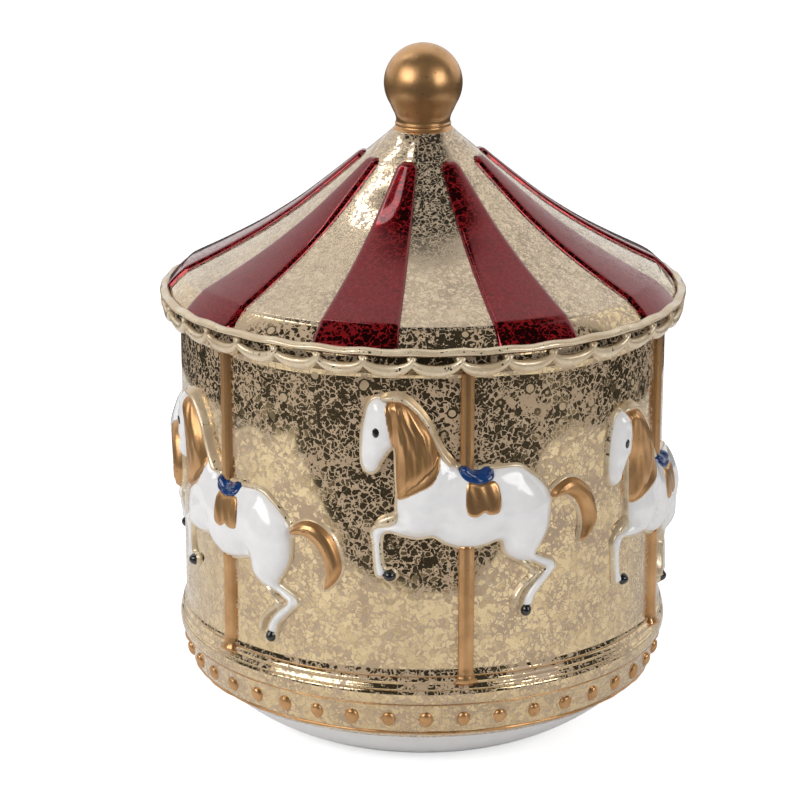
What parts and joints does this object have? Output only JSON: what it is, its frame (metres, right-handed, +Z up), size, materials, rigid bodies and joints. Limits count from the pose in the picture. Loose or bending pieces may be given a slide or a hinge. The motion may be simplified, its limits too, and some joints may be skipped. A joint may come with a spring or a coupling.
{
  "type": "wind up music box",
  "caption": "Wind-up music box shaped as a turning glass carousel with raised horses, on a white foot that hides the spring-driven movement and its winding key.",
  "frame": {"origin": "centre of the circle of foot pads, on the surface that the music box stands on", "axes": "+Z up along the turning axis, front towards -Y, +X to the right seen from the front"},
  "size_m": [0.1502, 0.1502, 0.1941],
  "materials": {
    "mercury_glass": "antique gold mirror lining with tan crackle under glossy clear glass",
    "ruby_lacquer": "deep ruby translucent lacquer over the mirror lining, glossy",
    "copper_paint": "satin copper-gold paint on glass",
    "horse_enamel": "glossy white enamel on glass with gold mane and tail and a blue saddle",
    "white_plastic": "satin white moulded plastic",
    "black_plastic": "moulded black plastic",
    "clear_rubber": "clear silicone",
    "steel": "plated steel",
    "spring_steel": "blued spring steel",
    "zinc_casting": "die-cast zinc",
    "plated_key": "nickel-plated pressed steel",
    "brass": "turned brass",
    "white_nylon": "moulded nylon"
  },
  "bodies": {
    "base": {"bedplate": "zinc_casting", "bracket_screws": "steel", "comb_screws": "steel", "foot": "white_plastic", "foot_pads": "clear_rubber", "governor_frame": "steel", "housing_lid": "steel", "inner_bracket": "steel", "mainspring": "spring_steel", "movement_screws": "steel", "music_comb": "spring_steel", "outer_bracket": "steel", "spring_housing": "steel"},
    "winding": {"winding_key": "plated_key", "winding_arbor": "steel"},
    "carousel": {"glass_body": "mercury_glass", "finial": "copper_paint", "roof_stripes": "ruby_lacquer", "valance_trim": "mercury_glass", "bead_ring": "copper_paint", "horse_1": "horse_enamel", "horse_2": "horse_enamel", "horse_3": "horse_enamel", "horse_4": "horse_enamel", "horse_5": "horse_enamel", "horse_6": "horse_enamel", "pole_1": "copper_paint", "pole_2": "copper_paint", "pole_3": "copper_paint", "pole_4": "copper_paint", "pole_5": "copper_paint", "pole_6": "copper_paint", "turntable_carrier": "black_plastic", "output_shaft": "steel", "drive_gear": "brass", "clutch_sleeve": "steel"},
    "cylinder": {"music_cylinder": "brass", "cylinder_arbor": "steel", "cylinder_drive_gear": "white_nylon", "cylinder_output_gear": "white_nylon"},
    "intermediate": {"intermediate_arbor": "steel", "intermediate_pinion": "white_nylon", "worm_wheel": "white_nylon"},
    "governor": {"governor_worm": "steel", "air_brake_fan": "white_nylon"}
  },
  "joints": [
    {"name": "key_wind", "type": "hinge", "parent": "base", "child": "winding", "pos_m": [0, 0, 0.01], "axis": [0, 0, 1], "range_deg": [0, 1620]},
    {"name": "carousel_turn", "type": "hinge", "parent": "base", "child": "carousel", "pos_m": [0, 0, 0.045], "axis": [0, 0, 1], "continuous": true},
    {"name": "cylinder_turn", "type": "hinge", "parent": "base", "child": "cylinder", "pos_m": [0.0267, 0, 0.0317], "axis": [1, 0, 0], "continuous": true},
    {"name": "intermediate_turn", "type": "hinge", "parent": "base", "child": "intermediate", "pos_m": [0.03, 0.012, 0.0317], "axis": [1, 0, 0], "continuous": true},
    {"name": "governor_spin", "type": "hinge", "parent": "base", "child": "governor", "pos_m": [0.0298, 0.01738, 0.0317], "axis": [0, 0, 1], "continuous": true}
  ],
  "couplings": [
    {"joint": "cylinder_turn", "follows": "carousel_turn", "ratio": -2},
    {"joint": "intermediate_turn", "follows": "carousel_turn", "ratio": 10},
    {"joint": "governor_spin", "follows": "carousel_turn", "ratio": -160}
  ]
}
